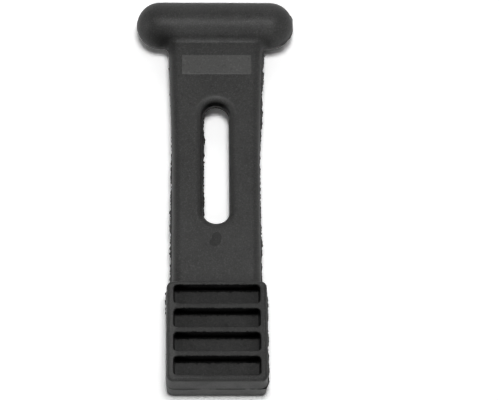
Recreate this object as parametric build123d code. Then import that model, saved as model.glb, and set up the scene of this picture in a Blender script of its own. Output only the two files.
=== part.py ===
from build123d import *
import os

# Rubber T draw latch, moulded in one piece: a flat strap with a keeper slot, a round
# T-bar that hooks into its bracket, and a thick grip pad with pockets for the fingers.
# All sizes are in millimetres.
#
# X runs across the strap, +Y points to the T-bar and +Z out of the pocketed face.
# The latch lies on its back: z = 0 is the surface it rests on, and x = y = 0 is the
# middle of its footprint. The mould opens at mid thickness, so the slot and the pad have
# draft away from that parting plane. The front half of the strap and pad is modelled and
# mirrored, and the pockets are cut from the front alone.

# whole latch
overall_length = 130.0

# T-bar
bar_length = 50.0
bar_diameter = 15.0

# strap
strap_thickness = 7.0
strap_width = 27.4
strap_edge_rounding = 2.8
neck_width = 29.8
neck_taper_length = 38.0
neck_fillet = 2.4

# keeper slot
slot_length = 40.8
slot_width = 8.3
slot_to_bar_axis = 28.4
slot_draft = 5.0
slot_rim_rounding = 2.1

# grip pad
pad_length = 32.4
pad_width = 30.8
pad_thickness = 15.0
pad_draft = 1.5
pad_corner_radius = 2.2
pad_edge_rounding = 1.0
pad_root_fillet = 0.6

# finger pockets
pocket_count = 4
pocket_pitch = 7.64
pocket_width = 26.4
pocket_height = 5.94
pocket_depth = 4.8
pocket_corner_radius = 1.2
pocket_floor_chamfer = 0.4
pocket_rim_chamfer = 0.2
pocket_draft = 2.0
grip_end_to_pocket = 2.0

# places that follow from the sizes above
parting_z = max(bar_diameter, pad_thickness) / 2
parting_plane = Plane.XY.offset(parting_z)
bar_radius = bar_diameter / 2
bar_y = overall_length / 2 - bar_radius
grip_end_y = -overall_length / 2
pad_middle_y = grip_end_y + pad_length / 2
pad_face_z = parting_z + pad_thickness / 2


def top_face(solid):
    """The flat front face of a solid."""
    return solid.faces().sort_by(Axis.Z)[-1]


def strap_outline():
    """Parallel sides that widen from beside the slot to the neck, ending inside the bar."""
    taper_start_y = bar_y - bar_radius - neck_taper_length
    taper_slope = (neck_width - strap_width) / 2 / neck_taper_length
    foot = (strap_width / 2, pad_middle_y)
    taper_start = (strap_width / 2, taper_start_y)
    bar_end = (strap_width / 2 + (bar_y - taper_start_y) * taper_slope, bar_y)
    right = [foot, taper_start, bar_end]
    left = [(-x, y) for x, y in reversed(right)]
    return make_face(Polyline(*right, *left, close=True))


def half_slot():
    """The front half of the keeper slot, which widens from the parting plane."""
    slot_y = bar_y - slot_to_bar_axis - slot_length / 2
    outline = Pos(0, slot_y) * Rot(0, 0, 90) * SlotOverall(slot_length, slot_width)
    return extrude(parting_plane * outline, amount=strap_thickness / 2, taper=-slot_draft)


def half_strap():
    """The front half of the strap, with its slot and its rounded edges."""
    web = extrude(parting_plane * strap_outline(), amount=strap_thickness / 2)
    web = fillet(top_face(web).edges(), strap_edge_rounding)
    web -= half_slot()
    return fillet(top_face(web).inner_wires()[0].edges(), slot_rim_rounding)


def half_pad():
    """The front half of the grip pad, a drafted block with rounded corners and edges."""
    outline = Pos(0, pad_middle_y) * RectangleRounded(pad_width, pad_length, pad_corner_radius)
    pad = extrude(parting_plane * outline, amount=pad_thickness / 2, taper=pad_draft)
    return fillet(top_face(pad).edges(), pad_edge_rounding)


def bar():
    """The T-bar, a round bar with hemispherical ends."""
    ends_apart = bar_length - bar_diameter
    capsule = Cylinder(bar_radius, ends_apart)
    for side in (-1, 1):
        capsule += Pos(0, 0, side * ends_apart / 2) * Sphere(bar_radius)
    return Pos(0, bar_y, parting_z) * Rot(0, 90, 0) * capsule


def pocket():
    """One pocket's space, wider at its mouth in the pad's face than at its floor."""
    mouth = RectangleRounded(pocket_width, pocket_height, pocket_corner_radius)
    space = extrude(mouth, amount=-pocket_depth, taper=pocket_draft)
    floor = space.faces().sort_by(Axis.Z)[0]
    return chamfer(floor.edges(), pocket_floor_chamfer)


def strap_and_pad():
    """Strap and pad, mirrored about the parting plane, with a fillet where they meet."""
    strap = half_strap()
    pad = half_pad()
    half = strap + pad
    corner = new_edges(strap, pad, combined=half)
    corner = corner.filter_by(lambda edge: edge.center().Z > parting_z)
    half = fillet(corner, pad_root_fillet)
    return half + mirror(half, about=parting_plane)


def latch():
    """The whole latch: strap, pad and T-bar as one, with the pockets cut into the front."""
    flat_part = strap_and_pad()
    cross_bar = bar()
    body = flat_part + cross_bar
    body = fillet(new_edges(flat_part, cross_bar, combined=body), neck_fillet)
    first_pocket_y = grip_end_y + grip_end_to_pocket + pocket_height / 2
    for row in range(pocket_count):
        body -= Pos(0, first_pocket_y + row * pocket_pitch, pad_face_z) * pocket()
    rims = ShapeList()
    for wire in top_face(body).inner_wires():
        rims += wire.edges()
    return chamfer(rims, pocket_rim_chamfer)


os.makedirs("parts", exist_ok=True)
export_step(latch(), "parts/latch_strap.step")
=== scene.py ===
import math

import bmesh
import bpy
from mathutils import Matrix, Vector, noise


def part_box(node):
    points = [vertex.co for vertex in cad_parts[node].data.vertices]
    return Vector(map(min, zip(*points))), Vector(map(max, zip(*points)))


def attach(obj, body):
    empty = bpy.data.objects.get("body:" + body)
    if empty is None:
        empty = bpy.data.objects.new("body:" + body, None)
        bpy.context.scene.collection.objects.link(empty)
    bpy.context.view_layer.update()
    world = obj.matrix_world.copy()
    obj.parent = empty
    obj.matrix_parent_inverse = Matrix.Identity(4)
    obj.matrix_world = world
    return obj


# Rubber T draw latch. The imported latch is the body. What is added here is what moulding
# leaves on such a strap: the torn film along the parting line and round the slot, the
# mark of the gate and the bare plate. X runs across the strap, +Y points to the T-bar and
# +Z out of the face with the pockets. Lengths are in metres, most of them written in
# millimetres times MM.

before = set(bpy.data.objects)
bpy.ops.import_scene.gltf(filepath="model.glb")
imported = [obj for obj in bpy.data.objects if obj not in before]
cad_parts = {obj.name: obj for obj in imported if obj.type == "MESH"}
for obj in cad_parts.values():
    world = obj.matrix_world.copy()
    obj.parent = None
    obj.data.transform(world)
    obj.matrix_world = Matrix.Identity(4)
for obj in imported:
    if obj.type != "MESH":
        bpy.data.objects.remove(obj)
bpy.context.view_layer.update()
bpy.context.scene.view_settings.view_transform = "Standard"

MM = 0.001
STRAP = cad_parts["latch_strap"]
LOW, HIGH = (Vector(corner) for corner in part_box("latch_strap"))
PARTING_Z = (LOW.z + HIGH.z) / 2
STRAP_FACE_Z = PARTING_Z + 3.5 * MM

# Places on the latch that its marks and shades refer to.
SLOT_RIM_X = (-4.9 * MM, 4.9 * MM)
SLOT_RIM_Y = (-12.4 * MM, 29.8 * MM)
SLOT_ARC_Y = 24.95 * MM
POCKET_PITCH = 7.64 * MM
POCKET_EDGE_Y = LOW.y + 7.94 * MM
POCKETS_X = (-12.6 * MM, 12.6 * MM)
POCKETS_Y = (LOW.y + 5 * MM, -33.4 * MM)
DARKER_GRIP_X = (-12.4 * MM, 14.6 * MM)
DARKER_GRIP_Y = (-64.5 * MM, -34.4 * MM)
SIDE_REFLECTION_Y = (-33 * MM, 46 * MM)
PALER_FRAME_Y = (-63.5 * MM, -33.5 * MM)
ARM_SHADE_PLACE = Vector((-17.0, 51.0, 10.5)) * MM


# ---------------------------------------------------------------- camera
# The photo's point of view: how far it is tilted off the vertical towards the grip, turned
# and rolled.
VIEW_TILT = math.radians(22.95)
VIEW_TURN = math.radians(1.765)
VIEW_ROLL = math.radians(-0.663)
VIEW_DISTANCE = 760.3 * MM
VIEW_AIM = Vector((10.6, -3.07, 7.5)) * MM
LENS, SENSOR_WIDTH = 175.8, 36.0


def add_camera():
    back = Vector((
        -math.sin(VIEW_TURN),
        -math.sin(VIEW_TILT) * math.cos(VIEW_TURN),
        math.cos(VIEW_TILT) * math.cos(VIEW_TURN),
    ))
    back.normalize()
    right = Vector((0, 1, 0)).cross(back).normalized()
    up = back.cross(right)
    turn = Matrix((right, up, back)).transposed() @ Matrix.Rotation(VIEW_ROLL, 3, "Z")
    data = bpy.data.cameras.new("camera")
    data.lens = LENS
    data.sensor_width = SENSOR_WIDTH
    data.clip_start = 0.05
    camera = bpy.data.objects.new("camera", data)
    camera.matrix_world = Matrix.Translation(VIEW_AIM + back * VIEW_DISTANCE) @ turn.to_4x4()
    bpy.context.scene.collection.objects.link(camera)
    bpy.context.scene.camera = camera


# ---------------------------------------------------------------- light
ROOM_LIGHT = 0.06
ROOM_SEEN = 1.0
WHITE = (1, 1, 1, 1)


def add_softbox(name, tilt, turn, distance, size, radiance, mirrored=True, shines=True):
    """A rectangular softbox that faces the part.

    It stands tilt degrees off the zenith towards -Y, turned about the zenith towards +X.
    One that isn't mirrored is left out of reflections, and one that doesn't shine is seen
    in reflections alone.
    """
    tilt, turn = math.radians(tilt), math.radians(turn)
    away = Vector((
        math.sin(tilt) * math.sin(turn),
        -math.sin(tilt) * math.cos(turn),
        math.cos(tilt),
    ))
    data = bpy.data.lights.new(name, "AREA")
    data.shape = "RECTANGLE"
    data.size, data.size_y = size
    data.energy = radiance * math.pi * size[0] * size[1]
    lamp = bpy.data.objects.new(name, data)
    lamp.location = away * distance
    lamp.visible_glossy, lamp.visible_diffuse = mirrored, shines
    lamp.rotation_euler = away.to_track_quat("Z", "Y").to_euler()
    bpy.context.scene.collection.objects.link(lamp)


def add_world():
    """A dim white room, which the camera sees as plain white."""
    world = bpy.data.worlds.new("studio")
    bpy.context.scene.world = world
    world.use_nodes = True
    nodes, links = world.node_tree.nodes, world.node_tree.links
    nodes.clear()
    out = nodes.new("ShaderNodeOutputWorld")
    mix = nodes.new("ShaderNodeMixShader")
    path = nodes.new("ShaderNodeLightPath")
    links.new(path.outputs["Is Camera Ray"], mix.inputs[0])
    for place, strength in ((1, ROOM_LIGHT), (2, ROOM_SEEN)):
        room = nodes.new("ShaderNodeBackground")
        room.inputs["Color"].default_value = WHITE
        room.inputs["Strength"].default_value = strength
        links.new(room.outputs[0], mix.inputs[place])
    links.new(mix.outputs[0], out.inputs["Surface"])


# ---------------------------------------------------------------- node trees
class Nodes:
    """A short way to write one material's node tree."""

    def __init__(self, name, bare=False):
        self.material = bpy.data.materials.new(name)
        self.material.use_nodes = True
        self.tree = self.material.node_tree
        if bare:
            self.tree.nodes.clear()
        else:
            self.shader = self.tree.nodes["Principled BSDF"]
        coordinates = self.new("ShaderNodeTexCoord")
        self.place, self.facing = coordinates.outputs["Object"], coordinates.outputs["Normal"]

    def new(self, kind, **settings):
        node = self.tree.nodes.new(kind)
        for key, value in settings.items():
            setattr(node, key, value)
        return node

    def put(self, value, socket):
        if isinstance(value, bpy.types.NodeSocket):
            self.tree.links.new(value, socket)
        else:
            socket.default_value = value

    def noise(self, size, detail=3.0, rough=0.55):
        """Noise whose lumps are about size metres across."""
        texture = self.new("ShaderNodeTexNoise")
        texture.inputs["Scale"].default_value = 1 / size
        texture.inputs["Detail"].default_value = detail
        texture.inputs["Roughness"].default_value = rough
        self.put(self.place, texture.inputs["Vector"])
        return texture.outputs["Fac"]

    def span(self, value, low, high, new_low=0.0, new_high=1.0):
        """Value rescaled from low..high to new_low..new_high, with its ends held."""
        node = self.new("ShaderNodeMapRange")
        for socket, number in zip(node.inputs[:5], (value, low, high, new_low, new_high)):
            self.put(number, socket)
        return node.outputs[0]

    def mix(self, factor, at_0, at_1):
        """A number that goes from at_0 to at_1 as the factor goes from 0 to 1."""
        return self.span(factor, 0.0, 1.0, at_0, at_1)

    def math(self, operation, first, second=0.0):
        node = self.new("ShaderNodeMath", operation=operation)
        self.put(first, node.inputs[0])
        self.put(second, node.inputs[1])
        return node.outputs[0]

    def times(self, first, *others):
        for other in others:
            first = self.math("MULTIPLY", first, other)
        return first

    def axis(self, vector, name):
        node = self.new("ShaderNodeSeparateXYZ")
        self.put(vector, node.inputs[0])
        return node.outputs[name]

    def band(self, axis, ends, soft):
        """1 between two places along an axis, fading to 0 over a soft edge on each side."""
        (low, high), place = ends, self.axis(self.place, axis)
        first = self.span(place, low - soft, low + soft)
        return self.times(first, self.span(place, high - soft, high + soft, 1.0, 0.0))

    def open_air(self, reach, inside=False):
        """How little of the same piece lies within reach, outside it or inside it."""
        node = self.new("ShaderNodeAmbientOcclusion", samples=8, only_local=True, inside=inside)
        node.inputs["Distance"].default_value = reach
        return node.outputs["AO"]

    def blend(self, factor, first, second, mode="MIX"):
        node = self.new("ShaderNodeMix", data_type="RGBA", blend_type=mode)
        self.put(factor, node.inputs["Factor"])
        self.put(first, node.inputs["A"])
        self.put(second, node.inputs["B"])
        return node.outputs["Result"]

    def bump(self, height, distance, normal=None):
        node = self.new("ShaderNodeBump")
        node.inputs["Distance"].default_value = distance
        self.put(height, node.inputs["Height"])
        if normal is not None:
            self.put(normal, node.inputs["Normal"])
        return node.outputs[0]


# ---------------------------------------------------------------- floor
FLOOR_WHITE = 0.85
FLOOR_WHITE_SEEN = 1.30
FLOOR_WHITE_MIRRORED = 1.1
FLOOR_FADE = (0.13, 0.36)
FLOOR_REACH = 3.0
FLOOR_GAP = 0.01 * MM


def add_floor():
    """White paper. The camera and reflections see it lighter, and it fades to plain white."""
    n = Nodes("floor_white", bare=True)
    path = n.new("ShaderNodeLightPath")
    seen = path.outputs["Is Camera Ray"]
    paper = n.new("ShaderNodeBsdfDiffuse")
    shade = n.mix(path.outputs["Is Glossy Ray"], FLOOR_WHITE, FLOOR_WHITE_MIRRORED)
    shade = n.mix(seen, shade, FLOOR_WHITE_SEEN)
    n.put(n.blend(1.0, shade, WHITE, "MULTIPLY"), paper.inputs["Color"])
    away = n.new("ShaderNodeVectorMath", operation="LENGTH")
    n.put(n.place, away.inputs[0])
    plain_white = n.new("ShaderNodeEmission")
    both = n.new("ShaderNodeMixShader")
    n.put(n.times(n.span(away.outputs["Value"], *FLOOR_FADE), seen), both.inputs[0])
    n.put(paper.outputs[0], both.inputs[1])
    n.put(plain_white.outputs[0], both.inputs[2])
    n.put(both.outputs[0], n.new("ShaderNodeOutputMaterial").inputs["Surface"])
    low, high = -FLOOR_REACH, FLOOR_REACH
    corners = [(low, low, 0), (high, low, 0), (high, high, 0), (low, high, 0)]
    mesh = bpy.data.meshes.new("floor")
    mesh.from_pydata(corners, [], [(0, 1, 2, 3)])
    mesh.materials.append(n.material)
    floor = bpy.data.objects.new("floor", mesh)
    floor.location.z = LOW.z - FLOOR_GAP
    bpy.context.scene.collection.objects.link(floor)


# ---------------------------------------------------------------- marks and painted light
# How far noise shifts the edge of a hollow's painted shade, how pale the rubbed edges are,
# and the rubber's specular level in the open.
RAGGED = 0.16
WEAR = 0.5
SHINE = 0.36


def painted_hollow_shade(n):
    """Painted shade: 1 in the open, less in a hollow, least on the walls facing the grip's end.
    """
    wall = n.span(n.axis(n.facing, "Y"), -0.9, -0.4, 1.0, 0.0)
    level = n.span(n.axis(n.facing, "Z"), 0.5, 0.9)
    upright = n.span(n.axis(n.facing, "Z"), 0.25, 0.75, 1.0, 0.0)
    # The painted shade on a level floor ends in a ragged line.
    ragged = n.span(n.noise(0.8 * MM, detail=3, rough=0.65), 0.3, 0.7, -RAGGED, RAGGED)
    air = n.math("ADD", n.open_air(6 * MM), n.times(ragged, level))
    # Where the air is shut the painted shade is deepest, and where it is wide there is none.
    shut, wide = n.mix(wall, 0.30, 0.64), n.mix(wall, 0.88, 0.98)
    least = n.math("ADD", n.mix(wall, 0.27, 0.02), n.times(level, 0.36))
    hollows = n.span(air, shut, wide, least, 1.0)
    # The slot's walls get darker painted shade still.
    in_slot = n.times(
        n.band("X", SLOT_RIM_X, 0.5 * MM), n.band("Y", SLOT_RIM_Y, 0.5 * MM), upright)
    return n.times(hollows, n.mix(in_slot, 1.0, n.mix(wall, 0.6, 0.1)))


def seam(n):
    """The broken dark line that the parting plane leaves across the grip's end face."""
    half_width = 0.40 * MM
    line = n.band("Z", (PARTING_Z - half_width, PARTING_Z + half_width), 0.15 * MM)
    at_end = n.span(n.axis(n.place, "Y"), LOW.y + 0.3 * MM, LOW.y + 0.6 * MM, 1.0, 0.0)
    dashes = n.span(n.noise(5 * MM, detail=3), 0.38, 0.48)
    return n.times(line, at_end, dashes)


def painted_arm_shade(n):
    """Painted shade under the T-bar's left arm, where it meets the strap."""
    away = n.new("ShaderNodeVectorMath", operation="DISTANCE")
    n.put(n.place, away.inputs[0])
    n.put(ARM_SHADE_PLACE, away.inputs[1])
    return n.span(away.outputs["Value"], 2.0 * MM, 6.5 * MM, 1.0, 0.0)


def darker_grip(n):
    """Darker on the grip's ribs and pockets, and on its frame in front and on the right."""
    upper = n.span(n.axis(n.place, "Z"), PARTING_Z + 0.5 * MM, PARTING_Z + 1.5 * MM)
    return n.times(n.band("X", DARKER_GRIP_X, 0.7 * MM), n.band("Y", DARKER_GRIP_Y, 0.6 * MM), upper)


def painted_pocket_edge_shade(n):
    """Painted shade in ragged lines at the rim and the foot of each pocket's wall on the
    T-bar's side.
    """
    ahead = 1.8 * MM
    steps = n.math("SUBTRACT", n.axis(n.place, "Y"), POCKET_EDGE_Y - ahead)
    steps = n.math("FRACT", n.times(steps, 1 / POCKET_PITCH))
    above = n.math("SUBTRACT", n.times(steps, POCKET_PITCH), ahead)
    teeth = n.noise(0.8 * MM, detail=3, rough=0.7)
    height = n.axis(n.place, "Z")
    rim = n.math("SUBTRACT", above, n.span(teeth, 0.35, 0.68, -0.1 * MM, 0.42 * MM))
    rim = n.times(
        n.span(rim, -0.15 * MM, 0.15 * MM, 1.0, 0.0),
        n.span(height, HIGH.z - 0.8 * MM, HIGH.z - 0.5 * MM))
    foot = n.math("ADD", above, n.span(teeth, 0.35, 0.68, 0.1 * MM, 1.2 * MM))
    foot = n.times(
        n.span(foot, -0.25 * MM, 0.25 * MM),
        n.span(height, HIGH.z - 4.4 * MM, HIGH.z - 4.0 * MM, 1.0, 0.0),
        n.span(above, 0.3 * MM, 0.6 * MM, 1.0, 0.0))
    upper = n.span(height, PARTING_Z, PARTING_Z + 0.5 * MM)
    pockets = n.times(n.band("X", POCKETS_X, 0.5 * MM), n.band("Y", POCKETS_Y, 0.2 * MM))
    return n.times(n.math("MAXIMUM", rim, foot), pockets, upper)


def rubbed_edges(n, specks):
    """The outer edges, where the specks let them show."""
    edges = n.span(n.open_air(0.9 * MM, inside=True), 0.35, 0.75, WEAR, 0.0)
    return n.times(edges, n.span(specks, 0.35, 0.65))


def painted_slot_rim_highlight(n):
    """Painted highlight on the rounded rim at the slot's end near the T-bar."""
    along = n.math("SUBTRACT", n.axis(n.place, "Y"), SLOT_ARC_Y)
    across = n.axis(n.place, "X")
    squares = n.math("ADD", n.math("POWER", across, 2.0), n.math("POWER", along, 2.0))
    away = n.math("SQRT", squares)
    ring = n.times(
        n.span(away, 4.8 * MM, 5.4 * MM),
        n.span(away, 6.2 * MM, 7.0 * MM, 1.0, 0.0))
    return n.times(ring, n.span(along, -1 * MM, 3 * MM))


def painted_side_reflection(n):
    """Painted reflection on the strap's left side, from the grip to the neck."""
    left_facing = n.span(n.axis(n.facing, "X"), -0.55, -0.85)
    return n.times(left_facing, n.band("Y", SIDE_REFLECTION_Y, 2 * MM))


def paler_frame(n):
    """The left side of the frame round the pockets."""
    left = n.span(n.axis(n.place, "X"), -13.2 * MM, -12.2 * MM, 1.0, 0.0)
    return n.times(left, n.band("Y", PALER_FRAME_Y, 1.0 * MM))


# How much paler each mark is, and how much of the colour and shine each dark mark leaves.
# The slot's rim and the strap's left side are painted highlight and painted reflection.
PAINTED_HIGHLIGHTS_AND_PALE_MARKS = ((painted_slot_rim_highlight, 0.28), (painted_side_reflection, 0.5), (paler_frame, 0.18))
# The patch under the left arm and the pocket edges are painted shade.
PAINTED_SHADE_AND_DARK_MARKS = ((seam, 0.12), (painted_arm_shade, 0.45), (darker_grip, 0.75), (painted_pocket_edge_shade, 0.3))


def grey(level):
    return (level, level, level * 0.975, 1)


def rubber(name, dark, light, rough, grain):
    """Matt moulded rubber: cloudy colour, fine grain, rubbed edges, painted highlights and
    painted shade in hollows.
    """
    n = Nodes(name)
    clouds = n.noise(14 * MM, detail=4)
    grains = n.noise(0.45 * MM, detail=2, rough=0.7)
    specks = n.noise(0.9 * MM, detail=3, rough=0.65)
    patches = n.noise(5 * MM, detail=3)
    # Wear on the outer edges, with the painted highlights and painted reflection added to it.
    wear_and_painted_highlights = rubbed_edges(n, specks)
    for mark, amount in PAINTED_HIGHLIGHTS_AND_PALE_MARKS:
        wear_and_painted_highlights = n.math("ADD", wear_and_painted_highlights, n.times(mark(n), amount))
    # Painted shade in hollows, under the left arm and at the pocket edges, with the darker
    # marks.
    shade_and_dark_mark_factor = painted_hollow_shade(n)
    for mark, share in PAINTED_SHADE_AND_DARK_MARKS:
        shade_and_dark_mark_factor = n.times(shade_and_dark_mark_factor, n.mix(mark(n), 1.0, share))

    pale, pale_speck, dark_speck = grey(light * 2.2), grey(light * 1.8), grey(dark * 0.5)
    colour = n.blend(n.span(clouds, 0.35, 0.65), grey(dark), grey(light))
    colour = n.blend(n.span(grains, 0.32, 0.68, -grain, grain), colour, pale)
    colour = n.blend(n.span(specks, 0.42, 0.30, 0.0, 0.6), colour, dark_speck)
    colour = n.blend(n.span(specks, 0.58, 0.75, 0.0, 0.6), colour, pale_speck)
    # Wear and painted highlights make the colour paler.
    colour = n.blend(wear_and_painted_highlights, colour, pale)
    # The painted shade darkens the colour and the shine.
    n.put(n.blend(1.0, colour, shade_and_dark_mark_factor, "MULTIPLY"), n.shader.inputs["Base Color"])
    n.put(n.times(shade_and_dark_mark_factor, SHINE), n.shader.inputs["Specular IOR Level"])
    dull = n.span(patches, 0.3, 0.7, rough - 0.05, rough + 0.06)
    n.put(n.math("SUBTRACT", dull, n.times(wear_and_painted_highlights, 0.12)), n.shader.inputs["Roughness"])
    waves = n.bump(n.noise(7 * MM, detail=2), 0.10 * MM)
    pits = n.bump(specks, 0.035 * MM, waves)
    n.put(n.bump(grains, 0.02 * MM, pits), n.shader.inputs["Normal"])
    return n.material


# ---------------------------------------------------------------- pieces
def add_piece(name, verts, faces, material):
    mesh = bpy.data.meshes.new(name)
    mesh.from_pydata(verts, [], faces)
    mesh.materials.append(material)
    mesh.shade_smooth()
    mesh.update()
    piece = bpy.data.objects.new(name, mesh)
    bpy.context.scene.collection.objects.link(piece)
    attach(piece, "root")


def lumps(point, size, seed):
    """Smooth noise between about -1 and 1 with lumps of the given size."""
    return 2 * noise.noise(point / size + Vector((0, 0, 10.0 * seed)))


def held(value, low=0.0, high=1.0):
    return min(max(value, low), high)


def loop_length(loop):
    return sum((b - a).length for a, b in zip(loop, loop[1:] + loop[:1]))


def parting_loops():
    """The latch's outlines on the parting plane as closed loops, the longest first."""
    shape = bmesh.new()
    shape.from_mesh(STRAP.data)
    bmesh.ops.remove_doubles(shape, verts=shape.verts, dist=0.001 * MM)
    # Just above the plane itself, along which edges of the mesh may run.
    height = PARTING_Z + 0.03 * MM
    cut = bmesh.ops.bisect_plane(
        shape, geom=shape.verts[:] + shape.edges[:] + shape.faces[:],
        plane_co=(0, 0, height), plane_no=(0, 0, 1))
    edges = {item for item in cut["geom_cut"] if isinstance(item, bmesh.types.BMEdge)}
    loops = []
    while edges:
        edge = edges.pop()
        first, last = edge.verts
        loop = [first.co.copy()]
        while last is not first:
            loop.append(last.co.copy())
            edge = next(item for item in last.link_edges if item in edges)
            edges.remove(edge)
            last = edge.other_vert(last)
        loops.append(loop)
    shape.free()
    return sorted(loops, key=loop_length, reverse=True)


def even_loop(loop, step):
    """The same closed loop, anticlockwise from one fixed corner, in even steps."""
    area = sum(a.x * b.y - b.x * a.y for a, b in zip(loop, loop[1:] + loop[:1]))
    if area < 0:
        loop = loop[::-1]
    start = max(range(len(loop)), key=lambda i: loop[i].x + 2 * loop[i].y)
    loop = loop[start:] + loop[:start]
    count = round(loop_length(loop) / step)
    gap = loop_length(loop) / count
    points, ahead = [], 0.0
    for a, b in zip(loop, loop[1:] + loop[:1]):
        run = (b - a).length
        while ahead < run and len(points) < count:
            points.append(a.lerp(b, ahead / run))
            ahead += gap
        ahead -= run
    return points


FILM_STEP = 0.28 * MM
FILM_LEAST = 0.02 * MM
# At the grip's end face the film stays inside the rubber.
FILM_END_DEPTH = 0.4 * MM
# The film's section is a ring of eight points, of which four lie above and four below.
FILM_RING = (0, 2, 4, 6, 7, 5, 3, 1)


def flash_film(name, loop, inwards, width_at, material, seed):
    """A thin torn film that stands out of the parting line round a loop."""
    points = even_loop(loop, FILM_STEP)
    count = len(points)
    verts, faces = [], []
    for i, point in enumerate(points):
        along = (points[(i + 2) % count] - points[i - 2]).normalized()
        out = Vector((along.y, -along.x, 0)) * (-1 if inwards else 1)
        if point.y < LOW.y + 0.15 * MM:
            point = point - out * FILM_END_DEPTH
        # Its edge has waves, fine tears and a few tongues. A narrow film is torn less.
        width = width_at(point.x / MM, point.y / MM) * MM
        torn = 0.16 * MM * min(1.0, width / (0.2 * MM))
        width *= 1 + 0.35 * lumps(point, 2.2 * MM, seed)
        width += torn * lumps(point, 0.55 * MM, seed + 1)
        width += 0.6 * MM * max(0, lumps(point, 1.3 * MM, seed + 2) - 0.75)
        width = max(width, FILM_LEAST)
        slip = along * 0.12 * MM * lumps(point, 0.5 * MM, seed + 3)
        sag = 0.06 * MM * lumps(point, 3.0 * MM, seed + 4)
        root, foot = point - out * 0.3 * MM, point + out * 0.04 * MM
        tip = point + out * width + slip
        # Each place in the section, its half thickness and how far it is lifted.
        section = (
            (root, 0.55 * MM, 0.0),
            (foot, 0.30 * MM, 0.0),
            (point.lerp(tip, 0.5), 0.12 * MM, 0.0),
            (tip, 0.04 * MM, sag),
        )
        for place, half, lift in section:
            x, y = held(place.x, LOW.x, HIGH.x), held(place.y, LOW.y, HIGH.y)
            verts.append(Vector((x, y, PARTING_Z + lift + half)))
            verts.append(Vector((x, y, PARTING_Z + lift - half)))
        this, after = 8 * i, 8 * ((i + 1) % count)
        for a, b in zip(FILM_RING, FILM_RING[1:] + FILM_RING[:1]):
            quad = (this + a, this + b, after + b, after + a)
            faces.append(quad[::-1] if inwards else quad)
    add_piece(name, verts, faces, material)


# Places along Y and how far the film stands out there. Here and in the two functions that
# give its width, all lengths are in millimetres.
RIGHT_FILM = ((-58, 0.42), (-52, 0.34), (-40, 0.34), (-36, 0.42), (-27, 0.26), (-20, 0.6),
              (-14, 0.32), (5, 0.22), (12, 0.33), (20, 0.55), (34, 0.6), (38, 0.72))
LEFT_FILM = ((-44, 0.0), (-37, 0.25), (-28, 0.5), (-3, 0.5), (15, 0.2), (19, 0.02))
NECK_END_Y = 48.5
BAR_RIGHT_X, BAR_RIGHT_FILM, BAR_FILM = 16, 0.35, 0.03


def outer_width(x, y):
    """How far the film stands out of the outline: most at the neck's right side."""
    if y > NECK_END_Y:
        return BAR_RIGHT_FILM if x > BAR_RIGHT_X else BAR_FILM
    stations = RIGHT_FILM if x > 0 else LEFT_FILM
    for (y0, width0), (y1, width1) in zip(stations, stations[1:]):
        if y < y1:
            return width0 + (width1 - width0) * max(0.0, (y - y0) / (y1 - y0))
    return stations[-1][1]


def slot_width(x, y):
    """Wide at the slot's left and at its end near the T-bar, next to none elsewhere."""
    left_film, end_film, fade = 0.55, 0.5, 4
    width = left_film * held((3.5 - x) / 7)
    width += (end_film - width) * held((y - 25) / fade)
    return width * held((y + 11.5) / fade)


PLATE_MIDDLE, PLATE_SIZE = Vector((0.4, 42.1, 0)) * MM, Vector((22.1, 6.95, 0)) * MM
PLATE_RISE, PLATE_RIM, PLATE_SUNK = 0.07 * MM, 0.22 * MM, 0.02 * MM


def add_plate(material):
    """The smooth bare plate on the neck, where such a strap carries its marking."""
    columns, rows = 90, 30
    verts, faces = [], []
    for j in range(rows + 1):
        for i in range(columns + 1):
            u, v = i / columns - 0.5, j / rows - 0.5
            place = Vector((u * PLATE_SIZE.x, v * PLATE_SIZE.y, 0))
            inset = min(PLATE_SIZE.x / 2 - abs(place.x), PLATE_SIZE.y / 2 - abs(place.y))
            lift = PLATE_RISE * min(1.0, inset / PLATE_RIM) - PLATE_SUNK
            place += PLATE_MIDDLE
            place.z = STRAP_FACE_Z + lift + 0.008 * MM * lumps(place, 2.5 * MM, seed=31)
            verts.append(place)
    for j in range(rows):
        for i in range(columns):
            a = j * (columns + 1) + i
            faces.append((a, a + 1, a + columns + 2, a + columns + 1))
    add_piece("bare_plate", verts, faces, material)


GATE_MIDDLE, GATE_RADII = Vector((-0.2, -17.75, 0)) * MM, (1.7 * MM, 2.4 * MM)


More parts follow.
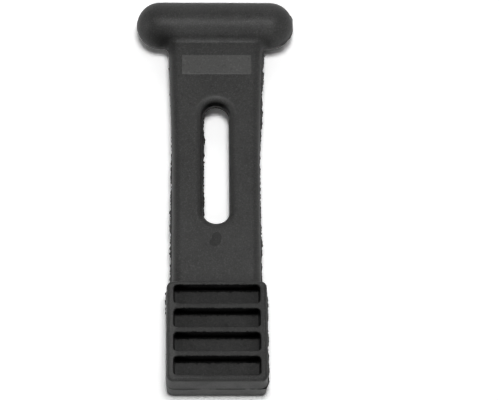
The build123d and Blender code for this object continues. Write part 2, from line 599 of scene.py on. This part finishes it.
def add_gate_mark(material):
    """The ragged low scar that the mould's gate leaves below the slot."""
    rings, spokes = 14, 48
    verts, faces = [GATE_MIDDLE + Vector((0, 0, STRAP_FACE_Z - 0.01 * MM))], []
    for r in range(1, rings + 1):
        for s in range(spokes):
            turn = 2 * math.pi * s / spokes
            way = Vector((math.cos(turn), math.sin(turn), 0))
            edge = 1 + 0.22 * lumps(way * MM, 0.9 * MM, seed=41)
            reach = Vector((way.x * GATE_RADII[0], way.y * GATE_RADII[1], 0))
            place = GATE_MIDDLE + reach * edge * r / rings
            # A low rough ridge near the rim, and the outermost ring sunk into the strap.
            ridge = math.exp(-((r / rings - 0.72) / 0.14) ** 2)
            lift = 0.03 * ridge * (1 + 0.9 * lumps(place, 0.7 * MM, seed=42)) + 0.015
            lift += -0.05 if r == rings else 0.015 * lumps(place, 0.5 * MM, seed=43)
            place.z = STRAP_FACE_Z + lift * MM
            verts.append(place)
    for s in range(spokes):
        faces.append((0, 1 + s, 1 + (s + 1) % spokes))
    for r in range(rings - 1):
        for s in range(spokes):
            a, b = 1 + r * spokes + s, 1 + r * spokes + (s + 1) % spokes
            faces.append((a, a + spokes, b + spokes, b))
    add_piece("gate_mark", verts, faces, material)


# ---------------------------------------------------------------- the scene
black_rubber = rubber("black_rubber", dark=0.0245, light=0.0315, rough=0.50, grain=0.46)
plate_rubber = rubber("plate_rubber", dark=0.061, light=0.067, rough=0.48, grain=0.16)
# Dark rubber for the gate's scar, and as painted shade on the slot's film.
scar_and_shaded_film_rubber = rubber("scar_and_shaded_film_rubber", dark=0.013, light=0.021, rough=0.60, grain=0.30)
film_rubber = rubber("film_rubber", dark=0.027, light=0.040, rough=0.62, grain=0.5)
for rubber_slot in STRAP.material_slots:
    rubber_slot.material = black_rubber

outline, slot_outline = parting_loops()[:2]
flash_film("outer_flash", outline, False, outer_width, film_rubber, seed=1)
# The slot's film is dark as painted shade.
flash_film("slot_flash", slot_outline, True, slot_width, scar_and_shaded_film_rubber, seed=11)
add_plate(plate_rubber)
add_gate_mark(scar_and_shaded_film_rubber)

add_camera()
add_world()
add_floor()
# The main light stands near the zenith, with weak ones round it.
add_softbox("key_softbox", 3, 25, 0.70, (0.18, 0.18), radiance=20.3)
add_softbox("top_key", 3, 30, 1.00, (0.24, 0.24), radiance=12.0, mirrored=False)
add_softbox("side_key", 22, 110, 1.00, (0.30, 0.30), radiance=1.5, mirrored=False)
add_softbox("back_fill", -50, 0, 1.00, (1.0, 0.4), radiance=1.25, mirrored=False)
add_softbox("front_fill", 38, -15, 1.00, (0.40, 0.40), radiance=1.22, mirrored=False)
# These are seen in reflections alone, as soft lights on the rubber's rounded edges.
add_softbox("front_softbox", 54, 0, 0.85, (1.2, 0.45), radiance=1.65, shines=False)
add_softbox("back_softbox", -68, 0, 0.85, (1.2, 0.4), radiance=1.15, shines=False)
add_softbox("left_softbox", 73, -90, 0.85, (0.8, 0.35), radiance=1.75, shines=False)
add_softbox("right_softbox", 73, 90, 0.85, (0.8, 0.35), radiance=1.2, shines=False)
